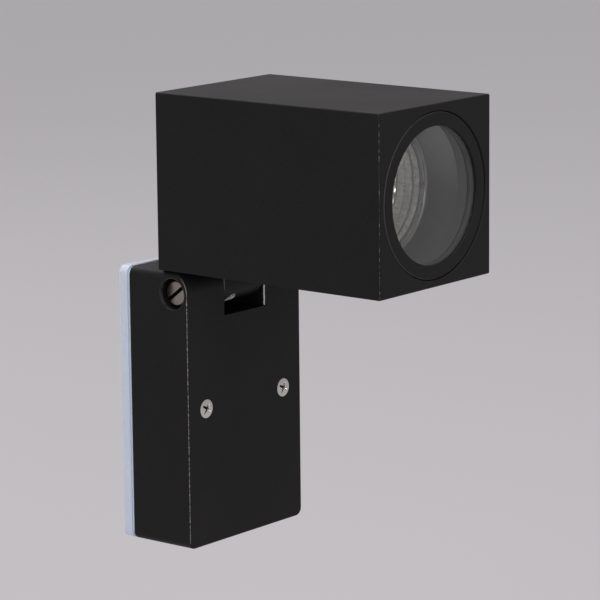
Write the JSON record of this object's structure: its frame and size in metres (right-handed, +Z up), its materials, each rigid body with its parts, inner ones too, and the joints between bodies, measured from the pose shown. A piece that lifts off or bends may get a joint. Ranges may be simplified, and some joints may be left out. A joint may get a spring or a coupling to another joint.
{
  "type": "pivoting spotlight wall light",
  "caption": "Black outdoor wall spotlight: square cast head with a round glass front, tilting on a knuckle over a tall wall base.",
  "frame": {"origin": "centre of the wall face: the middle of the base's outline, on the wall plane", "axes": "+Z up; +Y into the wall, so the light stands out along -Y and shines that way with the head level; +X along the tilt axis, to the right of someone who faces the wall"},
  "size_m": [0.065, 0.1205, 0.1683],
  "materials": {
    "black_coat": "black fine-texture powder coat, satin",
    "silicone": "translucent bluish-white silicone",
    "black_rubber": "black rubber, matt",
    "stainless": "stainless steel, turned, satin",
    "zinc_steel": "zinc-plated sheet steel",
    "brass": "plain brass",
    "polyamide": "natural polyamide",
    "clear_glass": "clear tempered glass",
    "mirror_coat": "aluminised glass reflector, faceted",
    "quartz": "quartz capsule",
    "ceramic": "cream steatite ceramic, unglazed",
    "pin_metal": "nickel-plated pins",
    "lead_brown": "brown heat-proof insulation",
    "lead_blue": "blue heat-proof insulation",
    "lead_green": "green and yellow insulation, drawn in its main colour"
  },
  "bodies": {
    "base": {"wall_gasket": "silicone", "mounting_bracket": "zinc_steel", "cable_grommet": "black_rubber", "base_housing": "black_coat", "cover_screws": "stainless", "pivot_spring_washers": "stainless", "friction_washers": "stainless", "lead_grommet": "black_rubber", "terminal_block": "polyamide", "terminal_sleeves": "brass", "terminal_screws": "stainless", "terminal_block_screw": "stainless", "earth_screw": "stainless", "earth_tag": "pin_metal", "base_lead_live": "lead_brown", "base_lead_earth": "lead_green", "base_lead_neutral": "lead_blue", "earth_link": "lead_green"},
    "head": {"head_housing": "black_coat", "pivot_screws": "stainless", "tilt_lock_screw": "stainless", "channel_sleeve": "polyamide", "lampholder": "ceramic", "holder_contacts": "brass", "holder_strap": "zinc_steel", "holder_screws": "stainless", "strap_screws": "stainless", "head_earth_tag": "pin_metal", "head_lead_live": "lead_brown", "head_lead_neutral": "lead_blue", "head_lead_earth": "lead_green"},
    "ring": {"front_ring": "black_coat", "lens_glass": "clear_glass", "lens_gasket": "black_rubber", "glass_retainer": "stainless", "ring_seal": "black_rubber"},
    "lamp": {"lamp_reflector": "mirror_coat", "lamp_front_glass": "clear_glass", "lamp_burner": "quartz", "lamp_base": "ceramic", "lamp_pins": "pin_metal"}
  },
  "joints": [
    {"name": "head_tilt", "type": "hinge", "parent": "base", "child": "head", "pos_m": [0, -0.0255, 0.0435], "axis": [1, 0, 0], "range_deg": [-2, 90]},
    {"name": "ring_release", "type": "slide", "parent": "head", "child": "ring", "axis": [0, -1, 0], "range_m": [0, 0.012]},
    {"name": "lamp_turn", "type": "hinge", "parent": "head", "child": "lamp", "pos_m": [0, -0.0975, 0.0843], "axis": [0, -1, 0], "range_deg": [0, 22]}
  ]
}
